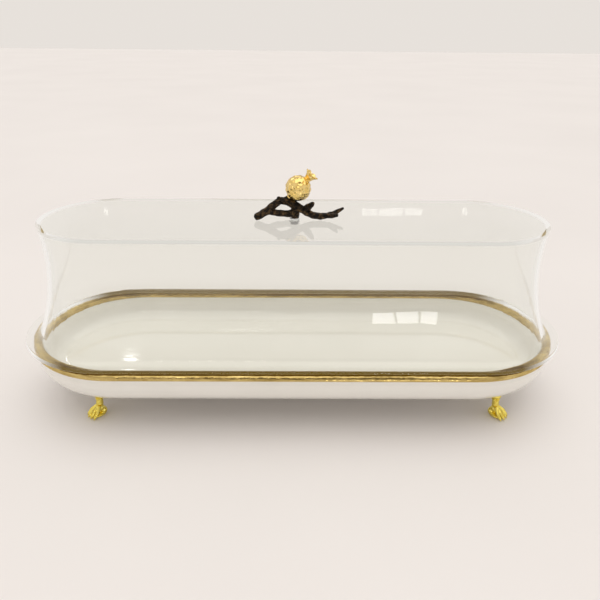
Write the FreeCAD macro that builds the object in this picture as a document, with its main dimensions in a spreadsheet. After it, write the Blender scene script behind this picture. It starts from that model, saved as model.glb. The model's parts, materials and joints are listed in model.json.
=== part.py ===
import FreeCAD, Part

import math
import os

import Sketcher

# Cake stand dome: a racetrack ceramic tray on four cast paw feet, under a clear lid
# with waisted walls that carries a cast branch-and-fruit handle.
# Millimetres, +Z up, X along the tray. The origin is on the table, below the tray's centre.

Vec = FreeCAD.Vector
doc = FreeCAD.newDocument("CakeStandDome")


# ---------------------------------------------------------------- driving dimensions

DIMENSIONS = [
    # the tray: every outline is an offset from a spine along X
    ("tray_half_run", 130.0, "tray centre to the centre of each end arc"),
    ("underside_z", 23.0, "flat underside above the table"),
    ("tray_wall", 7.0, "ceramic thickness of floor and wall"),
    ("underside_radius", 53.0, "edge of the flat underside, from the spine"),
    ("wall_round", 20.5, "radius of the rounded-in outer wall"),
    # the rim bead and its lustre band
    ("bead_centre", 71.0, "crest of the rim bead, from the spine"),
    ("bead_z", 48.0, "centre height of the rim bead"),
    ("bead_radius", 3.6, "ceramic bead under the lustre"),
    ("gilt_radius", 4.0, "outer surface of the lustre band"),
    # the lid
    ("lid_half_run", 137.0, "lid centre to the centre of each end arc"),
    ("lid_wall", 3.0, "thickness of the clear wall, flange and top"),
    ("flange_z", 52.2, "underside of the flange"),
    ("flange_radius", 73.5, "outer edge of the flange, from the spine"),
    ("waist_radius", 50.0, "narrowest outer wall, from the spine"),
    ("waist_z", 118.0, "height of the waist"),
    ("wall_bow", 150.0, "radius of the hollow curve of the outer wall"),
    ("flange_fillet", 7.0, "outer radius between wall and flange"),
    ("lid_top_z", 144.0, "flat top of the lid"),
    ("lid_hole_radius", 2.5, "hole for the handle screw"),
    # the feet
    ("foot_left_x", 148.8, "left foot columns from the tray centre, along X"),
    ("foot_right_x", 156.4, "right foot columns, which are glued on further out"),
    ("foot_across_y", 46.0, "foot column from the tray centre, along Y"),
    ("foot_top_z", 22.4, "top of the foot's mounting disc"),
    ("foot_disc_radius", 5.2, "mounting disc glued to the tray"),
    ("foot_disc_thick", 1.2, "its thickness"),
    ("foot_ball_radius", 3.9, "ball below the mounting disc"),
    ("foot_ball_z", 17.8, "centre of that ball"),
    ("ankle_radius", 2.6, "narrow ankle above the paw"),
    ("ankle_flare", 4.2, "radius of the ankle where it runs into the paw"),
    ("paw_long", 8.2, "half length of the paw, outwards"),
    ("paw_wide", 5.9, "half width of the paw"),
    ("paw_high", 6.6, "half height of the paw's full egg shape"),
    ("paw_centre_z", 3.6, "centre height of that egg shape"),
    ("paw_reach", 3.0, "paw centre outwards from the column"),
    ("pad_radius", 4.8, "adhesive pad between foot and tray"),
    # the handle's fasteners
    ("screw_radius", 1.95, "plain shank of the handle screw"),
    ("screw_head_radius", 2.9, "pan head of the handle screw"),
    ("screw_head_high", 1.9, "height of the pan head"),
    ("screw_slot_long", 3.6, "length of each arm of the cross slot"),
    ("screw_slot_wide", 0.7, "width of the cross slot"),
    ("screw_slot_deep", 1.0, "depth of the cross slot"),
    ("screw_grip", 6.0, "screw length inside the branch"),
    ("branch_bore_radius", 2.0, "threaded hole in the branch's foot"),
    ("washer_bore_radius", 2.25, "hole in every washer"),
    ("washer_radius", 3.8, "washers inside the lid"),
    ("metal_washer_thick", 0.8, "steel washer"),
    ("soft_washer_thick", 0.6, "soft washer inside the lid"),
    ("top_washer_radius", 3.4, "soft washer under the branch"),
    ("top_washer_thick", 0.5, "its thickness"),
    # the branch's foot and the fruit
    ("branch_foot_radius", 3.8, "foot of the branch over the lid's hole"),
    ("branch_foot_taper", 0.7, "how much narrower the foot is at its top"),
    ("branch_foot_high", 8.4, "height of the foot, inside the limbs at its top"),
    ("branch_foot_x", 0.5, "centre of the foot, along X"),
    ("fruit_radius", 9.3, "body of the pomegranate"),
    ("fruit_x", 2.7, "centre of the fruit, along X"),
    ("fruit_above", 22.8, "centre of the fruit above the lid's top"),
    ("fruit_lean", 44.0, "crown leans this many degrees towards +X"),
    ("crown_neck", 2.7, "radius of the crown's neck"),
    ("crown_mouth", 4.7, "radius of the crown's open mouth"),
    ("crown_tip", 14.2, "crown's points from the fruit's centre"),
    ("crown_wall", 0.9, "thickness of the crown's sepals"),
    ("crown_floor", 10.2, "bottom of the crown's cup"),
    ("sepal_notch", 1.5, "half width of each notch between the crown's points"),
    ("pin_radius", 1.0, "pin between branch and fruit"),
    ("pin_in_fruit", 5.0, "pin length inside the fruit"),
    ("pin_in_branch", 3.0, "pin length inside the branch"),
]

sheet = doc.addObject("Spreadsheet::Sheet", "Dims")
for row, (name, value, meaning) in enumerate(DIMENSIONS, start=1):
    sheet.set(f"A{row}", name)
    sheet.set(f"B{row}", str(value))
    sheet.set(f"C{row}", meaning)
    sheet.setAlias(f"B{row}", name)
doc.recompute()


def dim(name):
    """Value in millimetres of one driving dimension."""
    return float(sheet.get(name))


def cell(formula):
    """Sheet names inside a formula become references to the sheet's cells."""
    words = sorted((name for name, _, _ in DIMENSIONS), key=len, reverse=True)
    marked = formula
    for number, word in enumerate(words):
        marked = marked.replace(word, f"@{number}@")
    for number, word in enumerate(words):
        marked = marked.replace(f"@{number}@", f"Dims.{word}")
    return marked


def value_of(formula):
    return float(sheet.evalExpression(cell(formula)))


def bind(thing, **formulas):
    """Binds properties of a document object to formulas on the sheet."""
    for prop, formula in formulas.items():
        thing.setExpression(prop, cell(formula))
    return thing


# ---------------------------------------------------------------- sketched outlines

def origin_plane(body, role):
    return next(f for f in body.Origin.OriginFeatures if f.Role == role)


def new_sketch(body, name, role):
    sketch = body.newObject("Sketcher::SketchObject", name)
    sketch.AttachmentSupport = (origin_plane(body, role), [""])
    sketch.MapMode = "FlatFace"
    return sketch


def arc_between(start, end, radius, turn):
    """Arc from start to end, with its centre to the left (turn 1) or right (turn -1)."""
    chord = end.sub(start)
    half = chord.Length / 2
    normal = Vec(-chord.y, chord.x, 0).normalize() * turn
    centre = start.add(end).multiply(0.5).add(normal * math.sqrt(radius ** 2 - half ** 2))
    first, last = (start, end) if turn == 1 else (end, start)
    angles = [math.atan2(p.y - centre.y, p.x - centre.x) for p in (first, last)]
    return Part.ArcOfCircle(Part.Circle(centre, Vec(0, 0, 1), radius), angles[0], angles[1])


def draw_outline(sketch, corners):
    """Closed outline. A corner is (x, z) or (x, z, radius, turn), where the radius and
    turn shape the arc from that corner to the next one. All sizes are formulas."""
    points = [Vec(value_of(c[0]), value_of(c[1]), 0) for c in corners]
    ends = []
    for number, corner in enumerate(corners):
        start, end = points[number], points[(number + 1) % len(points)]
        if len(corner) == 2:
            edge = sketch.addGeometry(Part.LineSegment(start, end), False)
            ends.append((edge, 1, 2))
            continue
        turn = corner[3]
        edge = sketch.addGeometry(arc_between(start, end, value_of(corner[2]), turn), False)
        ends.append((edge, 1, 2) if turn == 1 else (edge, 2, 1))
        size = sketch.addConstraint(Sketcher.Constraint("Radius", edge, value_of(corner[2])))
        sketch.setExpression(f"Constraints[{size}]", cell(corner[2]))
    for number, corner in enumerate(corners):
        edge, first, _ = ends[number]
        before, _, last = ends[number - 1]
        sketch.addConstraint(Sketcher.Constraint("Coincident", before, last, edge, first))
        if corner[0] == "0":
            sketch.addConstraint(Sketcher.Constraint("PointOnObject", edge, first, -2))
        else:
            place(sketch, "DistanceX", edge, first, corner[0])
        place(sketch, "DistanceY", edge, first, corner[1])


def place(sketch, kind, edge, point, formula):
    """Sets a point's distance from the sketch origin to a formula on the sheet."""
    where = Sketcher.Constraint(kind, -1, 1, edge, point, value_of(formula))
    number = sketch.addConstraint(where)
    sketch.setExpression(f"Constraints[{number}]", cell(formula))


def racetrack(label, corners, half_run):
    """Solid of racetrack plan: the outline turned round both ends and run between them."""
    body = doc.addObject("PartDesign::Body", label)
    body.Label = label

    end_sketch = new_sketch(body, f"{label}_end_outline", "XZ_Plane")
    end_sketch.setExpression(".AttachmentOffset.Base.x", cell(half_run))
    draw_outline(end_sketch, corners)
    end = body.newObject("PartDesign::Revolution", f"{label}_end")
    end.Profile = end_sketch
    end.ReferenceAxis = (end_sketch, ["V_Axis"])
    end.Midplane = True
    end.Angle = 180
    body.Tip = end
    doc.recompute()

    run_sketch = new_sketch(body, f"{label}_run_outline", "YZ_Plane")
    draw_outline(run_sketch, corners)
    run = body.newObject("PartDesign::Pad", f"{label}_run")
    run.Profile = run_sketch
    run.SideType = "Symmetric"
    bind(run, Length=f"2 * {half_run}")
    body.Tip = run
    doc.recompute()

    for original, role in ((run, "XZ_Plane"), (end, "YZ_Plane")):
        mirrored = body.newObject("PartDesign::Mirrored", f"{original.Name}_mirrored")
        mirrored.Originals = [original]
        mirrored.MirrorPlane = (origin_plane(body, role), [""])
        body.Tip = mirrored
        doc.recompute()
    return body


# ---------------------------------------------------------------- tray and gilt band

def ceramic_tray():
    """Flat-bottomed dish: rounded-in outer wall, even thickness, round bead on the rim."""
    wall_z = "(underside_z + wall_round)"
    inner_round = "(wall_round - tray_wall)"
    outline = [
        ("0", "underside_z"),
        ("underside_radius", "underside_z", "wall_round", 1),
        ("underside_radius + wall_round", wall_z),
        ("bead_centre + bead_radius", "bead_z", "bead_radius", 1),
        ("bead_centre", "bead_z + bead_radius", "bead_radius", 1),
        ("bead_centre - bead_radius", "bead_z"),
        (f"underside_radius + {inner_round}", wall_z, inner_round, -1),
        ("underside_radius", "underside_z + tray_wall"),
        ("0", "underside_z + tray_wall"),
    ]
    return racetrack("ceramic_tray", outline, "tray_half_run")


def gilt_rim():
    """Fired lustre band over the upper half of the bead."""
    outline = [
        ("bead_centre + gilt_radius", "bead_z", "gilt_radius", 1),
        ("bead_centre", "bead_z + gilt_radius", "gilt_radius", 1),
        ("bead_centre - gilt_radius", "bead_z"),
        ("bead_centre - bead_radius", "bead_z", "bead_radius", -1),
        ("bead_centre", "bead_z + bead_radius", "bead_radius", -1),
        ("bead_centre + bead_radius", "bead_z"),
    ]
    return racetrack("gilt_rim", outline, "tray_half_run")


# ---------------------------------------------------------------- clear lid

def lid_dome():
    """Clear lid. The wall is one hollow arc from the lip to a fillet that runs out into
    a flat flange; the fillet touches the wall's arc and the flange's upper face."""
    bow_x = "(waist_radius + wall_bow)"
    flange_top = "(flange_z + lid_wall)"
    fillet_z = f"({flange_top} + flange_fillet)"
    inner_fillet = "(flange_fillet + lid_wall)"
    inner_bow = "(wall_bow + lid_wall)"
    between = "(wall_bow - flange_fillet)"
    fillet_x = f"({bow_x} - sqrt({between} ^ 2 - (waist_z - {fillet_z}) ^ 2))"
    along_x = f"(({bow_x} - {fillet_x}) / {between})"
    along_z = f"((waist_z - {fillet_z}) / {between})"
    ceiling = "(lid_top_z - lid_wall)"
    edge_round = "(lid_wall / 2)"
    edge_x = f"flange_radius - {edge_round}"
    outline = [
        ("0", ceiling),
        (f"{bow_x} - sqrt({inner_bow} ^ 2 - ({ceiling} - waist_z) ^ 2)", ceiling, inner_bow, 1),
        (f"{bow_x} - {along_x} * {inner_bow}", f"waist_z - {along_z} * {inner_bow}", inner_fillet, 1),
        (fillet_x, "flange_z"),
        (edge_x, "flange_z", edge_round, 1),
        ("flange_radius", f"flange_z + {edge_round}", edge_round, 1),
        (edge_x, flange_top),
        (fillet_x, flange_top, "flange_fillet", -1),
        (f"{bow_x} - {along_x} * wall_bow", f"waist_z - {along_z} * wall_bow", "wall_bow", -1),
        (f"{bow_x} - sqrt(wall_bow ^ 2 - (lid_top_z - waist_z) ^ 2)", "lid_top_z"),
        ("0", "lid_top_z"),
    ]
    body = racetrack("lid_dome", outline, "lid_half_run")
    undrilled = body.Shape.Volume
    circle = new_sketch(body, "lid_hole_outline", "XY_Plane")
    radius = value_of("lid_hole_radius")
    circle.addGeometry(Part.Circle(Vec(0, 0, 0), Vec(0, 0, 1), radius), False)
    circle.addConstraint(Sketcher.Constraint("Coincident", 0, 3, -1, 1))
    size = circle.addConstraint(Sketcher.Constraint("Radius", 0, radius))
    circle.setExpression(f"Constraints[{size}]", cell("lid_hole_radius"))
    hole = body.newObject("PartDesign::Pocket", "lid_hole")
    hole.Profile = circle
    hole.Type = "ThroughAll"
    hole.Reversed = True
    body.Tip = hole
    doc.recompute()
    if body.Shape.Volume >= undrilled:
        raise RuntimeError("the lid's hole cut nothing")
    return body


# ---------------------------------------------------------------- feet

def primitive(kind, name, at=(0, 0, 0), **formulas):
    """Part primitive with its sizes and its place bound to the sheet."""
    solid = bind(doc.addObject(kind, name), **formulas)
    for axis, formula in zip("xyz", at):
        if formula != 0:
            solid.setExpression(f".Placement.Base.{axis}", cell(formula))
    return solid


def foot_place(side_x, side_y):
    """Where a foot's column stands, on the table."""
    across = dim("foot_left_x") if side_x < 0 else dim("foot_right_x")
    return Vec(side_x * across, side_y * dim("foot_across_y"), 0)


def paw_foot(label, side_x, side_y):
    """Cast foot: mounting disc, ball, ankle, and a paw that points out from the corner."""
    disc = primitive("Part::Cylinder", f"{label}_disc", (0, 0, "foot_top_z - foot_disc_thick"),
                     Radius="foot_disc_radius", Height="foot_disc_thick")
    ball = primitive("Part::Sphere", f"{label}_ball", (0, 0, "foot_ball_z"),
                     Radius="foot_ball_radius")
    ankle = primitive("Part::Cone", f"{label}_ankle", (0, 0, "paw_centre_z"),
                      Radius1="ankle_flare", Radius2="ankle_radius",
                      Height="foot_ball_z - foot_ball_radius / 2 - paw_centre_z")
    egg = primitive("Part::Ellipsoid", f"{label}_egg", ("paw_reach", 0, "paw_centre_z"),
                    Radius1="paw_high", Radius2="paw_long", Radius3="paw_wide")
    below = "4 * paw_long"
    ground = primitive("Part::Box", f"{label}_ground", (f"-{below} / 2", f"-{below} / 2", f"-{below}"),
                       Length=below, Width=below, Height=below)
    paw = doc.addObject("Part::Cut", f"{label}_paw")
    paw.Base = egg
    paw.Tool = ground
    foot = doc.addObject("Part::MultiFuse", label)
    foot.Shapes = [disc, ball, ankle, paw]
    foot.Label = label
    outwards = math.degrees(math.atan2(side_y, side_x))
    foot.Placement = FreeCAD.Placement(foot_place(side_x, side_y), FreeCAD.Rotation(Vec(0, 0, 1), outwards))
    return foot


def foot_adhesive_pads():
    """Four discs of cured adhesive, one above each foot."""
    pads = []
    for side_x in (-1, 1):
        for side_y in (-1, 1):
            pads.append(Part.makeCylinder(
                dim("pad_radius"), dim("underside_z") - dim("foot_top_z"),
                foot_place(side_x, side_y) + Vec(0, 0, dim("foot_top_z"))))
    group = doc.addObject("Part::Feature", "foot_adhesive_pads")
    group.Label = "foot_adhesive_pads"
    group.Shape = Part.makeCompound(pads)
    return group


# ---------------------------------------------------------------- handle

def washer(label, radius, thick, bottom):
    disc = primitive("Part::Cylinder", f"{label}_disc", (0, 0, bottom), Radius=radius, Height=thick)
    bore = primitive("Part::Cylinder", f"{label}_bore", (0, 0, f"{bottom} - 1"),
                     Radius="washer_bore_radius", Height=f"{thick} + 2")
    ring = doc.addObject("Part::Cut", label)
    ring.Base = disc
    ring.Tool = bore
    ring.Label = label
    return ring


def handle_screw(head_top):
    """Pan-head screw with a cross slot, up through the washers and the lid."""
    head = primitive("Part::Cylinder", "screw_head", (0, 0, f"{head_top} - screw_head_high"),
                     Radius="screw_head_radius", Height="screw_head_high")
    shank = primitive("Part::Cylinder", "screw_shank", (0, 0, head_top), Radius="screw_radius",
                      Height=f"lid_top_z + top_washer_thick + screw_grip - ({head_top})")
    blank = doc.addObject("Part::MultiFuse", "screw_blank")
    blank.Shapes = [head, shank]
    slots = []
    long, wide = "screw_slot_long", "screw_slot_wide"
    for name, length, width in (("x", long, wide), ("y", wide, long)):
        corner = (f"-{length} / 2", f"-{width} / 2", f"{head_top} - screw_head_high - screw_slot_deep")
        slots.append(primitive("Part::Box", f"screw_slot_{name}", corner,
                               Length=length, Width=width, Height="2 * screw_slot_deep"))
    cross = doc.addObject("Part::MultiFuse", "screw_cross")
    cross.Shapes = slots
    screw = doc.addObject("Part::Cut", "handle_screw")
    screw.Base = blank
    screw.Tool = cross
    screw.Label = "handle_screw"
    return screw


# Points along each limb of the branch: x, y, height above the lid's top, limb radius.
MAIN_LIMB = [
    (-27.0, -6.6, 3.1, 2.7), (-20.2, -4.0, 6.8, 2.7), (-14.6, -1.6, 11.0, 2.7), (-10.6, 0.0, 13.5, 2.6),
    (-5.2, 0.0, 12.8, 2.9), (0.0, -0.6, 10.6, 3.0), (4.4, -1.2, 8.0, 2.8), (8.6, -2.2, 5.4, 2.5),
    (13.6, -3.8, 3.6, 2.5), (19.4, -5.0, 3.1, 2.5), (25.4, -4.6, 3.8, 2.2), (30.6, -2.9, 5.6, 1.6),
    (35.8, -0.8, 8.0, 1.0),
]
LOWER_LIMB = [
    (-20.2, -4.0, 6.4, 2.4), (-15.8, -2.6, 5.2, 2.2), (-10.8, -2.0, 4.4, 2.6), (-5.4, -1.4, 3.8, 2.4),
    (0.8, -0.4, 4.6, 2.6),
]
LEAF_TWIG = [(6.0, -1.4, 6.4, 1.9), (10.0, -4.2, 9.8, 2.6), (13.4, -7.0, 13.2, 1.4)]
FRUIT_STEM = [(-7.8, 0.0, 13.2, 2.4), (-4.9, 0.0, 15.2, 2.0)]
SHORT_PRONG = [(24.6, -5.0, 3.5, 1.9), (28.0, -8.6, 4.8, 1.6), (30.8, -12.6, 6.2, 1.1)]


def limb(points):
    """Smooth tapered limb through round sections, each square to the limb's run there."""
    top = dim("lid_top_z")
    places = [Vec(x, y, top + up) for x, y, up, _ in points]
    sections = []
    for number, (place_on_limb, (_, _, _, radius)) in enumerate(zip(places, points)):
        before, after = places[max(number - 1, 0)], places[min(number + 1, len(places) - 1)]
        circle = Part.Circle(place_on_limb, after.sub(before), radius)
        sections.append(Part.Wire([circle.toShape()]))
    return Part.makeLoft(sections, True, False)


def handle_branch(fruit_centre, pin_start):
    """Cast branch: two limbs that part and meet again at a foot over the lid's hole."""
    top = dim("lid_top_z")
    foot_bottom = top + dim("top_washer_thick")
    pieces = [Part.makeCone(dim("branch_foot_radius"), value_of("branch_foot_radius - branch_foot_taper"),
                            dim("branch_foot_high"), Vec(dim("branch_foot_x"), 0, foot_bottom))]
    for points in (MAIN_LIMB, LOWER_LIMB, LEAF_TWIG, FRUIT_STEM, SHORT_PRONG):
        pieces.append(limb(points))
    shape = pieces[0].fuse(pieces[1:])
    past_screw = 0.5
    screw_bore = Part.makeCylinder(dim("branch_bore_radius"), dim("screw_grip") + past_screw,
                                   Vec(0, 0, foot_bottom))
    fruit_seat = Part.makeSphere(dim("fruit_radius"), fruit_centre)
    pin_bore = Part.makeCylinder(dim("pin_radius"), dim("pin_in_branch") + dim("fruit_radius"),
                                 pin_start, fruit_centre.sub(pin_start))
    reach = 2 * max(abs(x) for x, _, _, _ in MAIN_LIMB)
    under = Part.makeBox(2 * reach, 2 * reach, reach, Vec(-reach, -reach, foot_bottom - reach))
    branch = doc.addObject("Part::Feature", "handle_branch")
    branch.Label = "handle_branch"
    branch.Shape = shape.cut([screw_bore, fruit_seat, pin_bore, under])
    return branch


def pomegranate(place_of_fruit):
    """Fruit with a flared crown, turned about its own axis, then notched into points."""
    body = doc.addObject("PartDesign::Body", "pomegranate")
    body.Label = "pomegranate"
    neck_z = "sqrt(fruit_radius ^ 2 - crown_neck ^ 2)"
    pin_top = "(-fruit_radius + pin_in_fruit)"
    pin_mouth = "-sqrt(fruit_radius ^ 2 - pin_radius ^ 2)"
    outline = [
        ("0", pin_top),
        ("pin_radius", pin_top),
        ("pin_radius", pin_mouth, "fruit_radius", 1),
        ("fruit_radius", "0.01", "fruit_radius", 1),
        ("crown_neck", neck_z),
        ("crown_mouth", "crown_tip"),
        ("crown_mouth - crown_wall", "crown_tip"),
        ("crown_neck - crown_wall", "crown_floor"),
        ("0", "crown_floor"),
    ]
    section = new_sketch(body, "pomegranate_outline", "XZ_Plane")
    draw_outline(section, outline)
    turned = body.newObject("PartDesign::Revolution", "pomegranate_turned")
    turned.Profile = section
    turned.ReferenceAxis = (section, ["V_Axis"])
    turned.Angle = 360
    body.Tip = turned
    doc.recompute()
    whole = body.Shape.Volume

    notch_sketch = new_sketch(body, "crown_notch_outline", "YZ_Plane")
    draw_outline(notch_sketch, [("-sepal_notch", "crown_tip + 1"),
                                ("0", "crown_floor + 1"),
                                ("sepal_notch", "crown_tip + 1")])
    notch = body.newObject("PartDesign::Pocket", "crown_notch")
    notch.Profile = notch_sketch
    notch.Type = "Length"
    notch.Reversed = True
    bind(notch, Length="2 * crown_mouth")
    body.Tip = notch
    doc.recompute()
    notches = body.newObject("PartDesign::PolarPattern", "crown_notches")
    notches.Originals = [notch]
    notches.Axis = (notch_sketch, ["V_Axis"])
    notches.Angle = 360
    notches.Occurrences = 6
    body.Tip = notches
    doc.recompute()
    if body.Shape.Volume >= whole:
        raise RuntimeError("the crown's notches cut nothing")
    body.Placement = place_of_fruit
    return body


def pomegranate_pin(start, direction):
    pin = primitive("Part::Cylinder", "pomegranate_pin", Radius="pin_radius - 0.02",
                    Height="pin_in_branch + pin_in_fruit - 0.2")
    pin.Label = "pomegranate_pin"
    pin.Placement = FreeCAD.Placement(start, FreeCAD.Rotation(Vec(0, 0, 1), direction))
    return pin


# ---------------------------------------------------------------- the whole object

def build():
    nodes = [ceramic_tray(), gilt_rim()]
    for side_y, end_name in ((-1, "front"), (1, "back")):
        for side_x, side_name in ((-1, "left"), (1, "right")):
            nodes.append(paw_foot(f"foot_{end_name}_{side_name}", side_x, side_y))
    nodes.append(foot_adhesive_pads())
    nodes.append(lid_dome())

    ceiling = "lid_top_z - lid_wall"
    soft_bottom = f"{ceiling} - soft_washer_thick"
    metal_bottom = f"{soft_bottom} - metal_washer_thick"
    nodes.append(washer("lid_seal_washer_upper", "top_washer_radius", "top_washer_thick", "lid_top_z"))
    nodes.append(washer("lid_seal_washer_lower", "washer_radius", "soft_washer_thick", soft_bottom))
    nodes.append(washer("handle_washer", "washer_radius", "metal_washer_thick", metal_bottom))
    nodes.append(handle_screw(metal_bottom))

    lean = FreeCAD.Rotation(Vec(0, 1, 0), dim("fruit_lean"))
    fruit_axis = lean.multVec(Vec(0, 0, 1))
    fruit_centre = Vec(dim("fruit_x"), 0, dim("lid_top_z") + dim("fruit_above"))
    pin_start = fruit_centre.sub(fruit_axis * (dim("fruit_radius") + dim("pin_in_branch")))
    nodes.append(handle_branch(fruit_centre, pin_start))
    nodes.append(pomegranate(FreeCAD.Placement(fruit_centre, lean)))
    nodes.append(pomegranate_pin(pin_start, fruit_axis))
    doc.recompute()
    return nodes


def check(nodes):
    for thing in doc.Objects:
        if "Invalid" in thing.State or "Error" in thing.State:
            raise RuntimeError(f"{thing.Label} did not compute")
    for node in nodes:
        if node.Shape.isNull() or not node.Shape.isValid():
            raise RuntimeError(f"{node.Label} has no valid shape")


nodes = build()
check(nodes)
os.makedirs("parts", exist_ok=True)
for node in nodes:
    node.Shape.exportStep(f"parts/{node.Label}.step")
    box = node.Shape.BoundBox
    print(f"{node.Label}: {len(node.Shape.Solids)} solids, {node.Shape.Volume:.0f} mm3, "
          f"z {box.ZMin:.2f} to {box.ZMax:.2f}, x {box.XMin:.1f} to {box.XMax:.1f}")
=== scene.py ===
import json
import math

import bmesh
import bpy
from mathutils import Matrix, Quaternion, Vector, noise


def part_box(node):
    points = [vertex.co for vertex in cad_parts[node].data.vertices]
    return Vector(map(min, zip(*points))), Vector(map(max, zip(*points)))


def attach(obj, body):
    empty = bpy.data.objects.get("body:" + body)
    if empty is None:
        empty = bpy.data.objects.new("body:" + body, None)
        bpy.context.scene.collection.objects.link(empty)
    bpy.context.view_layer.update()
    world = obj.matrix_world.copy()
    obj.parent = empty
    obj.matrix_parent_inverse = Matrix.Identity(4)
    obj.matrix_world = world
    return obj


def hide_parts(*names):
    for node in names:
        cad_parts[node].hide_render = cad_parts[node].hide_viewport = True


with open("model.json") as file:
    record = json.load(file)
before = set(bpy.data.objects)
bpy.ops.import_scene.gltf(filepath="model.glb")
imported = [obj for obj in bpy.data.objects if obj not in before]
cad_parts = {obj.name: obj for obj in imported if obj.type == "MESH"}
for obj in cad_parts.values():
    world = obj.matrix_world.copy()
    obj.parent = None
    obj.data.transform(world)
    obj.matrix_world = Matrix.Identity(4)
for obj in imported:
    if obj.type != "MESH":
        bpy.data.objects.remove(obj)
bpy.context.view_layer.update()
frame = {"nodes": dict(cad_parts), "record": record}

# Lengths in this script are metres. Small sculpted pieces are built in millimetres, in a
# frame of their own, and scaled by MM when they are put in place.
MM = 0.001
LID_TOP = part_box("lid_dome")[1].z
FOOT_NODES = ["foot_front_left", "foot_front_right", "foot_back_left", "foot_back_right"]


# ---------------------------------------------------------------- camera, floor, light

CAMERA_AT = Vector((-0.00122, -0.43263, 0.27849))
CAMERA_PITCH = math.radians(-25.03)
CAMERA_YAW = math.radians(0.804)
CAMERA_ROLL = math.radians(0.610)
SENSOR_MM = 36.0
LENS_MM = 36.0
FLOOR_HALF = 6.0

# The places on the object that each lamp is aimed at, and where the lamps stand.
SUN_AT = Vector((0.17, 0.27, 2.6))
SUN_SPREAD = math.radians(75)
LID_FRONT_SPOT = Vector((0.078, -0.05, 0.088))
FRONT_WINDOW_AT = Vector((0.220, -0.83, 0.046))
PANE_OFFSETS = (-0.039, 0.0, 0.039)
TRAY_LEFT_SPOT = Vector((-0.13, -0.02, 0.03))
LEFT_WINDOW_AT = Vector((-0.64, 1.61, 1.02))
LID_MIDDLE = Vector((0.0, 0.0, 0.1))
STRIP_AT = Vector((-0.35, -1.3, 1.75))

# The dim stretch of the room: its direction, how far its core and its edge are from that
# direction, as distances on a sphere of radius 1, and the tones inside and outside it.
DIM_TOWARDS = Vector((0.05, -0.80, 0.60))
DIM_CORE = 0.10
DIM_EDGE = 0.42
DIM_TONE = (0.16, 0.13, 0.10)
ROOM_TONE = (0.80, 0.755, 0.71)


def add_camera():
    data = bpy.data.cameras.new("camera")
    data.sensor_width = SENSOR_MM
    data.lens = LENS_MM
    data.clip_start = 0.01
    data.clip_end = 50
    camera = bpy.data.objects.new("camera", data)
    bpy.context.collection.objects.link(camera)
    flat = math.cos(CAMERA_PITCH)
    ahead = Vector((math.sin(CAMERA_YAW) * flat, math.cos(CAMERA_YAW) * flat,
                    math.sin(CAMERA_PITCH)))
    right = Vector((math.cos(CAMERA_YAW), -math.sin(CAMERA_YAW), 0))
    above = right.cross(ahead)
    rolled_right = right * math.cos(CAMERA_ROLL) + above * math.sin(CAMERA_ROLL)
    rolled_above = above * math.cos(CAMERA_ROLL) - right * math.sin(CAMERA_ROLL)
    turn = Matrix((rolled_right, rolled_above, -ahead)).transposed()
    camera.matrix_world = Matrix.Translation(CAMERA_AT) @ turn.to_4x4()
    bpy.context.scene.camera = camera


def add_floor():
    corners = [(x * FLOOR_HALF, y * FLOOR_HALF, 0) for x, y in ((-1, -1), (1, -1), (1, 1), (-1, 1))]
    mesh = bpy.data.meshes.new("floor")
    mesh.from_pydata(corners, [], [(0, 1, 2, 3)])
    floor = bpy.data.objects.new("floor", mesh)
    bpy.context.collection.objects.link(floor)
    mesh.materials.append(floor_material())


def add_lamp(name, kind, strength, colour, at, aim, **settings):
    """A lamp at one point, turned towards another. settings go to the lamp's data."""
    data = bpy.data.lights.new(name, kind)
    data.energy = strength
    data.color = colour
    for key, value in settings.items():
        setattr(data, key, value)
    lamp = bpy.data.objects.new(name, data)
    bpy.context.collection.objects.link(lamp)
    lamp.location = at
    lamp.rotation_mode = "QUATERNION"
    lamp.rotation_quaternion = (Vector(aim) - Vector(at)).to_track_quat("-Z", "Y")
    return lamp


def add_lights():
    """A soft sun from above, and small windows that the lid and the glaze mirror."""
    add_lamp("sun_soft", "SUN", 0.86, (1, 0.985, 0.965), SUN_AT, (0, 0, 0), angle=SUN_SPREAD)
    for number, across in enumerate(PANE_OFFSETS):
        pane_at = FRONT_WINDOW_AT + Vector((across, 0, 0))
        pane = add_lamp(f"window_front_{number}", "AREA", 0.045, (1, 1, 1), pane_at, LID_FRONT_SPOT,
                        shape="RECTANGLE", size=0.034, size_y=0.07)
        # the panes are there to be mirrored: they aren't seen themselves, and what they
        # shine on is lit by its gloss alone
        pane.visible_camera = False
        pane.visible_diffuse = False
    add_lamp("window_left", "AREA", 0.09, (1, 1, 1), LEFT_WINDOW_AT, TRAY_LEFT_SPOT,
             shape="RECTANGLE", size=0.04, size_y=0.05)
    add_lamp("strip_front", "AREA", 0.9, (1, 0.98, 0.95), STRIP_AT, LID_MIDDLE,
             shape="RECTANGLE", size=0.5, size_y=0.06)


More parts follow.
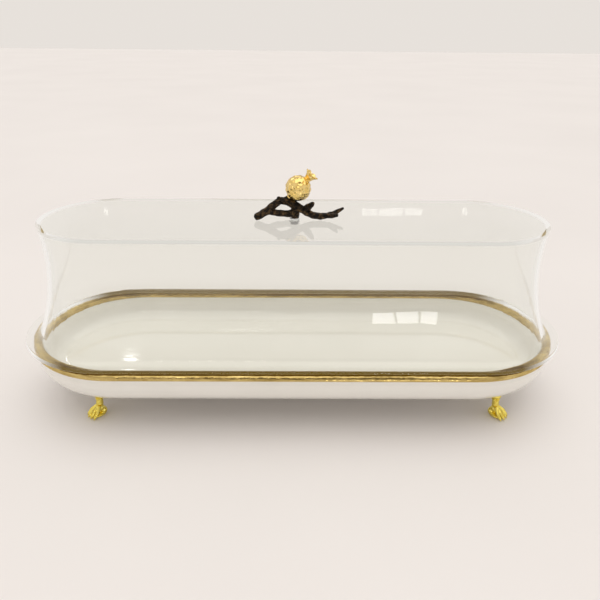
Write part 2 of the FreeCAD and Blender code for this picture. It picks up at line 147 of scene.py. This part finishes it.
def add_world():
    """A pale room, with a dim stretch part way up at the front, where a person would stand."""
    world = bpy.data.worlds.new("room")
    bpy.context.scene.world = world
    world.use_nodes = True
    tree = world.node_tree
    tree.nodes.clear()
    where = tree.nodes.new("ShaderNodeTexCoord")
    dim_spot = tree.nodes.new("ShaderNodeVectorMath")
    dim_spot.operation = "DISTANCE"
    dim_spot.inputs[1].default_value = DIM_TOWARDS
    tree.links.new(where.outputs["Generated"], dim_spot.inputs[0])
    away = tree.nodes.new("ShaderNodeMapRange")
    away.interpolation_type = "SMOOTHSTEP"
    away.inputs["From Min"].default_value = DIM_CORE
    away.inputs["From Max"].default_value = DIM_EDGE
    tree.links.new(dim_spot.outputs["Value"], away.inputs["Value"])
    tone = tree.nodes.new("ShaderNodeMix")
    tone.data_type = "RGBA"
    tone.inputs["A"].default_value = (*DIM_TONE, 1)
    tone.inputs["B"].default_value = (*ROOM_TONE, 1)
    tree.links.new(away.outputs[0], tone.inputs["Factor"])
    shade = tree.nodes.new("ShaderNodeBackground")
    tree.links.new(tone.outputs["Result"], shade.inputs["Color"])
    out = tree.nodes.new("ShaderNodeOutputWorld")
    tree.links.new(shade.outputs[0], out.inputs["Surface"])


# ---------------------------------------------------------------- materials

class Material:
    """A Principled material with short names for what every material here needs."""

    def __init__(self, name, **settings):
        self.material = bpy.data.materials.new(name)
        self.material.use_nodes = True
        self.tree = self.material.node_tree
        self.shader = self.tree.nodes["Principled BSDF"]
        self.output = self.tree.nodes["Material Output"]
        for socket, value in settings.items():
            self.shader.inputs[socket.replace("_", " ")].default_value = value

    def node(self, kind, **inputs):
        made = self.tree.nodes.new(kind)
        for socket, value in inputs.items():
            made.inputs[socket.replace("_", " ")].default_value = value
        return made

    def link(self, source, target):
        self.tree.links.new(source, target)

    def place(self, stretch=(1, 1, 1)):
        """Object coordinates in metres, stretched along each axis."""
        where = self.node("ShaderNodeTexCoord")
        scaled = self.node("ShaderNodeMapping", Scale=stretch)
        self.link(where.outputs["Object"], scaled.inputs["Vector"])
        return scaled.outputs["Vector"]

    def noise(self, scale, detail=2.0, roughness=0.5, distortion=0.0, stretch=(1, 1, 1)):
        made = self.node("ShaderNodeTexNoise", Scale=scale, Detail=detail, Roughness=roughness,
                         Distortion=distortion)
        self.link(self.place(stretch), made.inputs["Vector"])
        return made.outputs["Fac"]

    def spread(self, value, low, high, start=0.3, end=0.7):
        """value between start and end becomes a number between low and high."""
        made = self.node("ShaderNodeMapRange", From_Min=start, From_Max=end, To_Min=low,
                         To_Max=high)
        self.link(value, made.inputs["Value"])
        return made.outputs[0]

    def blend(self, value, dark, light, start=0.3, end=0.7):
        """A colour between dark and light as value goes from start to end. dark and light
        are colours, or sockets that give one."""
        made = self.node("ShaderNodeMix")
        made.data_type = "RGBA"
        for colour, socket in ((dark, "A"), (light, "B")):
            if isinstance(colour, bpy.types.NodeSocket):
                self.link(colour, made.inputs[socket])
            else:
                made.inputs[socket].default_value = (*colour, 1)
        self.link(self.spread(value, 0, 1, start, end), made.inputs["Factor"])
        return made.outputs["Result"]

    def calculate(self, operation, *values):
        """A maths node. Each value is a number, or a socket that gives one."""
        made = self.node("ShaderNodeMath")
        made.operation = operation
        for value, socket in zip(values, made.inputs):
            if isinstance(value, bpy.types.NodeSocket):
                self.link(value, socket)
            else:
                socket.default_value = value
        return made.outputs[0]

    def mix(self, factor, first, second):
        """first where factor is 0, second where it is 1."""
        made = self.node("ShaderNodeMixShader")
        for source, socket in zip((factor, first, second), made.inputs):
            self.link(source, socket)
        return made.outputs[0]

    def colour(self, value):
        self.link(value, self.shader.inputs["Base Color"])

    def rough(self, value):
        self.link(value, self.shader.inputs["Roughness"])

    def bump(self, height, depth):
        """Adds a relief of depth metres on top of any bump that is there already."""
        made = self.node("ShaderNodeBump", Strength=1.0, Distance=depth)
        self.link(height, made.inputs["Height"])
        before = self.shader.inputs["Normal"].links
        if before:
            self.link(before[0].from_socket, made.inputs["Normal"])
        self.link(made.outputs["Normal"], self.shader.inputs["Normal"])


def floor_material():
    made = Material("pale_floor", Roughness=0.6, Specular_IOR_Level=0.25)
    made.colour(made.blend(made.noise(3.0, 3), (0.815, 0.79, 0.78), (0.84, 0.815, 0.805)))
    return made.material


def ivory_glaze():
    """Glossy ivory glaze: faint pooling of tone, a soft orange-peel surface at a broad and a fine
    scale.
    """
    made = Material("ivory_glaze", IOR=1.52, Coat_Weight=0.35, Coat_Roughness=0.03)
    made.colour(made.blend(made.noise(14, 4), (0.86, 0.845, 0.79), (0.90, 0.885, 0.835)))
    made.rough(made.spread(made.noise(40, 3), 0.035, 0.08))
    made.bump(made.noise(22, 1, 0.4), 0.00025)
    made.bump(made.noise(420, 2), 0.00003)
    return made.material


def gold_lustre():
    """Fired gold lustre, brushed on by hand: streaks along the rim and thin spots."""
    made = Material("gold_lustre", Metallic=1.0)
    streaks = made.noise(110, 4, 0.6, 0.4, stretch=(0.4, 1.2, 3.0))
    made.colour(made.blend(streaks, (0.38, 0.265, 0.08), (0.72, 0.55, 0.22)))
    made.rough(made.spread(made.noise(130, 3), 0.10, 0.26))
    made.bump(made.noise(38, 2, 0.5), 0.0012)
    made.bump(made.noise(170, 2, 0.5), 0.0006)
    made.bump(made.noise(520, 2, 0.5), 0.00016)
    return made.material


def plated_gold():
    """Bright yellow plating on a rough little casting."""
    made = Material("plated_gold", Metallic=1.0)
    made.colour(made.blend(made.noise(500, 3), (0.86, 0.66, 0.10), (0.98, 0.86, 0.22)))
    made.rough(made.spread(made.noise(900, 3), 0.10, 0.26))
    made.bump(made.noise(700, 2), 0.00010)
    return made.material


def polished_gold():
    """Polished gold skin of the fruit, with the shallow pits of a small hammer."""
    made = Material("polished_gold", Metallic=1.0)
    made.colour(made.blend(made.noise(300, 3), (0.86, 0.60, 0.18), (0.98, 0.76, 0.32)))
    made.rough(made.spread(made.noise(700, 2), 0.08, 0.2))
    pits = made.node("ShaderNodeTexVoronoi", Scale=330.0)
    made.link(made.place(), pits.inputs["Vector"])
    made.bump(pits.outputs["Distance"], 0.0011)
    made.bump(made.noise(330, 1, 0.4), 0.0003)
    return made.material


def bronze_bark():
    """Antique bronze: near-black in the furrows, rubbed brown on the ridges."""
    made = Material("bronze_bark", Metallic=0.75)
    furrows = made.noise(330, 5, 0.62, 0.6)
    patina = made.noise(120, 3)
    made.colour(made.blend(furrows, (0.008, 0.005, 0.003), (0.20, 0.12, 0.05), 0.48, 0.76))
    made.rough(made.spread(patina, 0.28, 0.55))
    made.bump(furrows, 0.0007)
    made.bump(made.noise(2200, 3), 0.00008)
    return made.material


# A ray that meets the lid's surface from inside, after less than TRAPPED_PATH, has bounced
# within the wall. It is ended there by a painted glow, an emission in fixed tones that
# stands in for light reflected inside the wall: a painted reflection of the gilt low down
# between the tray's ends, and elsewhere a painted reflection of the room. Each pair below
# is where one tone starts to give way to the next and where it has done so: in height,
# then twice in distance from the middle along X, then from front to back.
TRAPPED_PATH = 0.02
GILT_REFLECTION_HEIGHT = (0.061, 0.069)
GILT_REFLECTION_ENDS = (0.165, 0.190)
END_STARTS = (0.150, 0.185)
SIDE_CHANGE = (-0.02, 0.02)
# Painted reflections: the fixed tones the wall glows in where light is trapped inside it.
PAINTED_GILT_REFLECTION = (0.16, 0.098, 0.012)
PAINTED_FRONT_ROOM_REFLECTION = (0.72, 0.70, 0.655)
PAINTED_BACK_ROOM_REFLECTION = (0.83, 0.785, 0.74)
PAINTED_END_ROOM_REFLECTION = (0.93, 0.90, 0.87)


def clear_acrylic():
    """Clear acrylic with the faint unevenness of a hand-formed wall.

    Lamps shine through it. Light that has bounced inside the wall is not followed any
    further: the wall glows there instead, a painted glow in the tone of what lies nearest,
    which is a painted reflection of the gilt just under the flange while the lid is on, and
    a painted reflection of the room everywhere else. The painted room is brightest round
    the ends and dullest along the front."""
    made = Material("clear_acrylic", Base_Color=(0.968, 0.978, 0.962, 1), Roughness=0.012,
                    IOR=1.49, Transmission_Weight=1.0)
    made.bump(made.noise(16, 1, 0.3), 0.0008)
    inside = made.node("ShaderNodeNewGeometry")
    axes = made.node("ShaderNodeSeparateXYZ")
    made.link(inside.outputs["Position"], axes.inputs[0])
    aside = made.calculate("ABSOLUTE", axes.outputs["X"])
    off_gilt_reflection = made.calculate("MAXIMUM", made.spread(axes.outputs["Z"], 0, 1, *GILT_REFLECTION_HEIGHT),
                              made.spread(aside, 0, 1, *GILT_REFLECTION_ENDS))
    long_side_reflection = made.blend(axes.outputs["Y"], PAINTED_FRONT_ROOM_REFLECTION, PAINTED_BACK_ROOM_REFLECTION, *SIDE_CHANGE)
    room = made.blend(aside, long_side_reflection, PAINTED_END_ROOM_REFLECTION, *END_STARTS)
    # Painted glow: an emission that paints the trapped light as a reflection of the gilt and the
    # room.
    painted_glow = made.node("ShaderNodeEmission")
    made.link(made.blend(off_gilt_reflection, PAINTED_GILT_REFLECTION, room, 0, 1), painted_glow.inputs["Color"])
    rays = made.node("ShaderNodeLightPath")
    passing = made.node("ShaderNodeBsdfTransparent", Color=(0.95, 0.955, 0.945, 1))
    short = made.calculate("LESS_THAN", rays.outputs["Ray Length"], TRAPPED_PATH)
    bounced = made.calculate("MULTIPLY", short, inside.outputs["Backfacing"])
    trapped = made.mix(bounced, passing.outputs[0], painted_glow.outputs[0])
    seen = made.mix(rays.outputs["Is Reflection Ray"], made.shader.outputs[0], trapped)
    lit = made.mix(rays.outputs["Is Shadow Ray"], seen, passing.outputs[0])
    made.link(lit, made.output.inputs["Surface"])
    made.material.cycles.emission_sampling = "NONE"
    return made.material


def zinc_steel():
    """Dull zinc plating, for the screw and its washer."""
    made = Material("zinc_steel", Metallic=1.0)
    made.colour(made.blend(made.noise(800, 2), (0.30, 0.30, 0.31), (0.46, 0.46, 0.46)))
    made.rough(made.spread(made.noise(1500, 3), 0.22, 0.4))
    made.bump(made.noise(2500, 2), 0.00002)
    return made.material


def milky_plastic(name, tint):
    """A soft, slightly see-through plastic, for the adhesive and the soft washers."""
    made = Material(name, IOR=1.45, Subsurface_Weight=0.3)
    made.shader.inputs["Subsurface Radius"].default_value = (0.001, 0.001, 0.001)
    made.colour(made.blend(made.noise(500, 2), [c * 0.93 for c in tint], tint))
    made.rough(made.spread(made.noise(900, 2), 0.3, 0.5))
    made.bump(made.noise(1400, 2), 0.00003)
    return made.material


def dress(materials):
    """Gives every CAD node that stays in sight its finished material."""
    by_slot = {entry["node"]: entry["material_slot"] for entry in frame["record"]["subparts"]}
    for name, thing in frame["nodes"].items():
        for slot in thing.material_slots:
            slot.material = materials[by_slot[name]]


# ---------------------------------------------------------------- sculpting

def ball(centre, radii, lean=None):
    """Closed ellipsoid. radii is one number or three; lean turns it about its centre."""
    if isinstance(radii, (int, float)):
        radii = (radii, radii, radii)
    made = bmesh.new()
    bmesh.ops.create_icosphere(made, subdivisions=4, radius=1.0)
    turn = (lean or Quaternion()).to_matrix().to_4x4()
    made.transform(Matrix.Translation(centre) @ turn @ Matrix.Diagonal((*radii, 1)))
    return made


def taper(start, start_radius, end, end_radius):
    """Closed tapered rod between two points."""
    start, end = Vector(start), Vector(end)
    made = bmesh.new()
    bmesh.ops.create_cone(made, cap_ends=True, segments=32, radius1=start_radius,
                          radius2=end_radius, depth=(end - start).length)
    turn = (end - start).to_track_quat("Z", "Y").to_matrix().to_4x4()
    made.transform(Matrix.Translation((start + end) / 2) @ turn)
    return made


def limb(points):
    """Balls joined by tapered rods. A point is (x, y, z, radius)."""
    made = [ball(p[:3], p[3]) for p in points]
    for a, b in zip(points, points[1:]):
        made.append(taper(a[:3], a[3], b[:3], b[3]))
    return made


def melted(name, lumps, voxel, smooth):
    """One skin over overlapping closed lumps. Returns an object in millimetres."""
    mesh = bpy.data.meshes.new(name)
    whole = bmesh.new()
    for lump in lumps:
        part = bpy.data.meshes.new("lump")
        lump.to_mesh(part)
        lump.free()
        whole.from_mesh(part)
        bpy.data.meshes.remove(part)
    whole.to_mesh(mesh)
    whole.free()
    thing = bpy.data.objects.new(name, mesh)
    bpy.context.collection.objects.link(thing)
    skin = thing.modifiers.new("skin", "REMESH")
    skin.mode = "VOXEL"
    skin.voxel_size = voxel
    if smooth:
        relax = thing.modifiers.new("relax", "SMOOTH")
        relax.factor = 0.5
        relax.iterations = smooth
    return settle(thing)


def settle(thing):
    """Applies an object's modifiers to its mesh and shades it smooth."""
    bpy.context.view_layer.update()
    seen = thing.evaluated_get(bpy.context.evaluated_depsgraph_get())
    mesh = bpy.data.meshes.new_from_object(seen)
    old = thing.data
    thing.modifiers.clear()
    thing.data = mesh
    bpy.data.meshes.remove(old)
    for face in mesh.polygons:
        face.use_smooth = True
    return thing


def carve(thing, move):
    """Moves every vertex by move(place, normal), which gives an offset."""
    mesh = thing.data
    offsets = [move(v.co, v.normal) for v in mesh.vertices]
    for vertex, offset in zip(mesh.vertices, offsets):
        vertex.co += offset
    mesh.update()


def put(thing, at, turn=None):
    """Scales a piece from millimetres and sets it in the frame by moving its vertices."""
    matrix = Matrix.Translation(at)
    if turn is not None:
        matrix = matrix @ turn.to_matrix().to_4x4()
    thing.data.transform(matrix @ Matrix.Scale(MM, 4))
    thing.data.update()


def finish_piece(thing, body, node, material):
    """Gives a sculpted piece its material, and has it stand for its CAD node."""
    thing.data.materials.clear()
    thing.data.materials.append(material)
    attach(thing, body)
    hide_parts(node)


# ---------------------------------------------------------------- paw feet

TOE_ANGLES = (-30, -10, 10, 30)
DISC_RADIUS = 5.2


def paw_lumps():
    """A lion's paw in millimetres: +X is outwards, the floor is z = 0."""
    disc = taper((0, 0, 21.2), DISC_RADIUS, (0, 0, 22.4), DISC_RADIUS)
    neck = taper((0, 0, 19.6), 2.8, (0, 0, 21.6), 4.0)
    knob = ball((0, 0, 17.6), (3.7, 3.7, 3.1))
    ring = ball((0, 0, 14.4), (3.1, 3.1, 0.9))
    ankle = taper((0, 0, 15.0), 2.4, (0.4, 0, 9.4), 2.8)
    instep = ball((0.8, 0, 6.2), (3.4, 3.5, 3.0), Quaternion((0, 1, 0), math.radians(34)))
    heel = ball((-1.7, 0, 3.0), (2.8, 3.4, 3.0))
    sole = ball((2.8, 0, 1.3), (6.2, 4.6, 1.5))
    lumps = [disc, neck, knob, ring, ankle, instep, heel, sole]
    for angle in TOE_ANGLES:
        side, out = math.sin(math.radians(angle)), math.cos(math.radians(angle))
        root = (0.6 + 1.6 * out, 4.6 * side, 7.9, 0.95)
        knuckle = (-0.4 + 6.6 * out, 8.6 * side, 4.9, 1.2)
        tip = (0.4 + 8.6 * out, 9.2 * side, 2.2, 1.1)
        claw = (0.6 + 9.7 * out, 9.7 * side, 0.9, 0.5)
        lumps += limb([root, knuckle, tip, claw])
    return lumps


def add_feet(material):
    master = melted("paw_master", paw_lumps(), 0.24, 1)

    def press_flat(place, normal):
        """Lifts what hangs below the floor up to it."""
        return Vector((0, 0, max(0.0, -place.z)))

    carve(master, press_flat)
    for node in FOOT_NODES:
        low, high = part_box(node)
        side_x = 1 if (low + high).x > 0 else -1
        side_y = 1 if (low + high).y > 0 else -1
        # the column stands at the inner corner of the CAD foot's box, under its disc's edge
        inset = DISC_RADIUS * MM
        column_x = (low.x if side_x > 0 else high.x) + side_x * inset
        column_y = (low.y if side_y > 0 else high.y) + side_y * inset
        foot = bpy.data.objects.new("paw_" + node, master.data.copy())
        bpy.context.collection.objects.link(foot)
        outwards = Quaternion((0, 0, 1), math.atan2(side_y, side_x))
        put(foot, (column_x, column_y, 0), outwards)
        finish_piece(foot, "base", node, material)
    bpy.data.objects.remove(master)


# ---------------------------------------------------------------- branch

# Points along each limb, in millimetres from the middle of the lid's top: x, y, z, radius.
MAIN_LIMB = [
    (-27.0, -6.6, 3.1, 2.7), (-20.2, -4.0, 6.8, 2.7), (-14.6, -1.6, 11.0, 2.7),
    (-10.6, 0.0, 13.5, 2.6), (-5.2, 0.0, 12.8, 2.9), (0.0, -0.6, 10.6, 3.0),
    (4.4, -1.2, 8.0, 2.8), (8.6, -2.2, 5.4, 2.5), (13.6, -3.8, 3.6, 2.5),
    (19.4, -5.0, 3.1, 2.5), (25.4, -4.6, 3.8, 2.2), (30.6, -2.9, 5.6, 1.6),
    (35.8, -0.8, 8.0, 1.0),
]
LOWER_LIMB = [
    (-20.2, -4.0, 6.4, 2.4), (-15.8, -2.6, 5.2, 2.2), (-10.8, -2.0, 4.4, 2.6),
    (-5.4, -1.4, 3.8, 2.4), (0.8, -0.4, 4.6, 2.6),
]
LEAF_TWIG = [(6.0, -1.4, 6.4, 1.9), (10.0, -4.2, 9.8, 2.6), (13.4, -7.0, 13.2, 1.4)]
FRUIT_STEM = [(-7.8, 0.0, 13.2, 2.4), (-4.9, 0.0, 15.2, 2.0)]
SHORT_PRONG = [(24.6, -5.0, 3.5, 1.9), (28.0, -8.6, 4.8, 1.6), (30.8, -12.6, 6.2, 1.1)]
BRANCH_FOOT = [(0.6, -0.4, 2.4, 3.3), (0.5, 0.0, 8.0, 3.0)]
KNOTS = [((-11.6, -0.6, 15.2), 1.6), ((-20.8, -5.6, 7.6), 1.2), ((3.0, -3.0, 8.6), 1.3),
         ((17.0, -6.2, 4.4), 1.2), ((-12.6, -3.4, 5.2), 1.3), ((-3.6, -2.4, 12.4), 1.2)]
# How near the bark comes to the lid's top.
BARK_LOWEST = 0.5


def bark(place, normal):
    """Furrows that run along the branch, broken up by lumps."""
    along = Vector((place.x * 0.16, place.y * 0.95, place.z * 0.95))
    furrow = abs(noise.noise(along + Vector((3, 1, 7))))
    lump = noise.noise(place * 0.30)
    grain = noise.noise(Vector((place.x * 0.5, place.y * 2.2, place.z * 2.2)))
    return normal * (0.35 * lump - 0.75 * furrow + 0.16 + 0.10 * grain)


def add_branch(material):
    lumps = []
    for points in (MAIN_LIMB, LOWER_LIMB, LEAF_TWIG, FRUIT_STEM, SHORT_PRONG, BRANCH_FOOT):
        lumps += limb(points)
    lumps += [ball(centre, radius) for centre, radius in KNOTS]
    branch = melted("branch_bark", lumps, 0.26, 2)
    carve(branch, bark)

    def clear_lid(place, normal):
        """Lifts what hangs too near the lid's top."""
        return Vector((0, 0, max(0.0, BARK_LOWEST - place.z)))

    carve(branch, clear_lid)
    put(branch, (0, 0, LID_TOP))
    finish_piece(branch, "lid", "handle_branch", material)


# ---------------------------------------------------------------- pomegranate

FRUIT_RADIUS = 9.3
FRUIT_LEAN = math.radians(44)
FRUIT_AT = Vector((2.7 * MM, 0, LID_TOP + 22.8 * MM))
FRUIT_ROWS = 56
FRUIT_TURNS = 96
POLE_GAP = 0.012
CROWN_POINTS = 6
CROWN_BASE = 8.9
CROWN_REACH = 5.6
CROWN_ROWS = 18
CROWN_WALL = 0.75
STAMENS = 9
STAMEN_TURN = 2.4


def lathe(name, profile, turns, warp):
    """Skin of revolution about Z, open at both ends. Profile points are (radius, height),
    and warp moves each point, given the point and its angle."""
    vertices, faces = [], []
    for radius, height in profile:
        for step in range(turns):
            angle = 2 * math.pi * step / turns
            point = Vector((radius * math.cos(angle), radius * math.sin(angle), height))
            vertices.append(warp(point, angle))
    for row in range(len(profile) - 1):
        for step in range(turns):
            after = (step + 1) % turns
            a, b = row * turns, (row + 1) * turns
            faces.append((a + step, a + after, b + after, b + step))
    mesh = bpy.data.meshes.new(name)
    mesh.from_pydata(vertices, [], faces)
    thing = bpy.data.objects.new(name, mesh)
    bpy.context.collection.objects.link(thing)
    return thing


def fruit_skin(point, angle):
    """Pomegranate body: six very soft flats, and the dents of a hand-finished casting."""
    height = point.z / FRUIT_RADIUS
    girth = max(0.0, 1 - height * height)
    soft = 1 + 0.012 * math.cos(CROWN_POINTS * angle) * girth
    dents = noise.noise(point * 0.40 + Vector((5, 2, 9))) * 0.55 + noise.noise(point * 0.9) * 0.22
    flat = Vector((point.x, point.y, 0)) * soft
    out = point.normalized()
    return Vector((flat.x, flat.y, point.z)) + out * (dents * 0.8)


def crown_skin(point, angle):
    """Sepals: the cup's rim rises to six points, which curl outwards."""
    up = (point.z - CROWN_BASE) / CROWN_REACH
    peak = abs(math.cos(angle * CROWN_POINTS / 2)) ** 0.8
    rise = CROWN_BASE + CROWN_REACH * up * (1 - 0.13 * up * up * (1 - peak))
    curl = 1 + 0.13 * up * up * (2 * peak - 1)
    return Vector((point.x * curl, point.y * curl, rise))


def close_ends(thing):
    """Fills the two small holes at the poles of a turned skin."""
    made = bmesh.new()
    made.from_mesh(thing.data)
    open_edges = [edge for edge in made.edges if edge.is_boundary]
    bmesh.ops.holes_fill(made, edges=open_edges, sides=0)
    made.to_mesh(thing.data)
    made.free()


def fruit_body():
    profile = []
    for step in range(FRUIT_ROWS + 1):
        polar = math.pi * (POLE_GAP + (1 - 2 * POLE_GAP) * step / FRUIT_ROWS)
        profile.append((FRUIT_RADIUS * math.sin(polar), -FRUIT_RADIUS * math.cos(polar)))
    body = lathe("fruit_body", profile, FRUIT_TURNS, fruit_skin)
    close_ends(body)
    return settle(body)


def fruit_crown():
    profile = []
    for step in range(CROWN_ROWS + 1):
        up = step / CROWN_ROWS
        profile.append((2.5 + 0.5 * up + 1.9 * up ** 1.7, CROWN_BASE + CROWN_REACH * up))
    crown = lathe("fruit_crown", profile, FRUIT_TURNS, crown_skin)
    shell = crown.modifiers.new("wall", "SOLIDIFY")
    shell.thickness = CROWN_WALL
    shell.offset = -1
    return settle(crown)


def fruit_stamens():
    """Little rods inside the crown, which lean outwards and end at two heights."""
    lumps = []
    for step in range(STAMENS):
        angle = step * STAMEN_TURN
        lean = 0.35 + 0.14 * (step % 3)
        spread = 2.6 * lean
        foot = (lean * math.cos(angle), lean * math.sin(angle), 8.6)
        head = (spread * math.cos(angle), spread * math.sin(angle), 11.6 + 0.3 * (step % 2))
        lumps += limb([foot + (0.32,), head + (0.36,)])
    return melted("fruit_stamens", lumps, 0.16, 0)


def fruit_collar():
    """The short stub below the fruit that its pin runs into."""
    return melted("fruit_collar", [taper((0, 0, -9.9), 2.1, (0, 0, -8.9), 2.6)], 0.2, 2)


def add_fruit(material):
    pieces = [fruit_body(), fruit_crown(), fruit_stamens(), fruit_collar()]
    whole = bmesh.new()
    for piece in pieces:
        whole.from_mesh(piece.data)
    mesh = bpy.data.meshes.new("pomegranate_gold")
    whole.to_mesh(mesh)
    whole.free()
    for piece in pieces:
        bpy.data.objects.remove(piece)
    fruit = bpy.data.objects.new("pomegranate_gold", mesh)
    bpy.context.collection.objects.link(fruit)
    put(fruit, FRUIT_AT, Quaternion((0, 1, 0), FRUIT_LEAN))
    finish_piece(fruit, "lid", "pomegranate", material)


# ---------------------------------------------------------------- the whole scene

def build():
    scene = bpy.context.scene
    scene.view_settings.view_transform = "Standard"
    add_camera()
    add_floor()
    add_lights()
    add_world()
    materials = {
        "glaze": ivory_glaze(),
        "lustre": gold_lustre(),
        "gold_plate": plated_gold(),
        "adhesive": milky_plastic("cured_adhesive", (0.78, 0.76, 0.70)),
        "clear_acrylic": clear_acrylic(),
        "soft_washer": milky_plastic("soft_washer", (0.80, 0.81, 0.81)),
        "steel": zinc_steel(),
        "bronze": bronze_bark(),
        "polished_gold": polished_gold(),
    }
    dress(materials)
    add_feet(materials["gold_plate"])
    add_branch(materials["bronze"])
    add_fruit(materials["polished_gold"])


build()
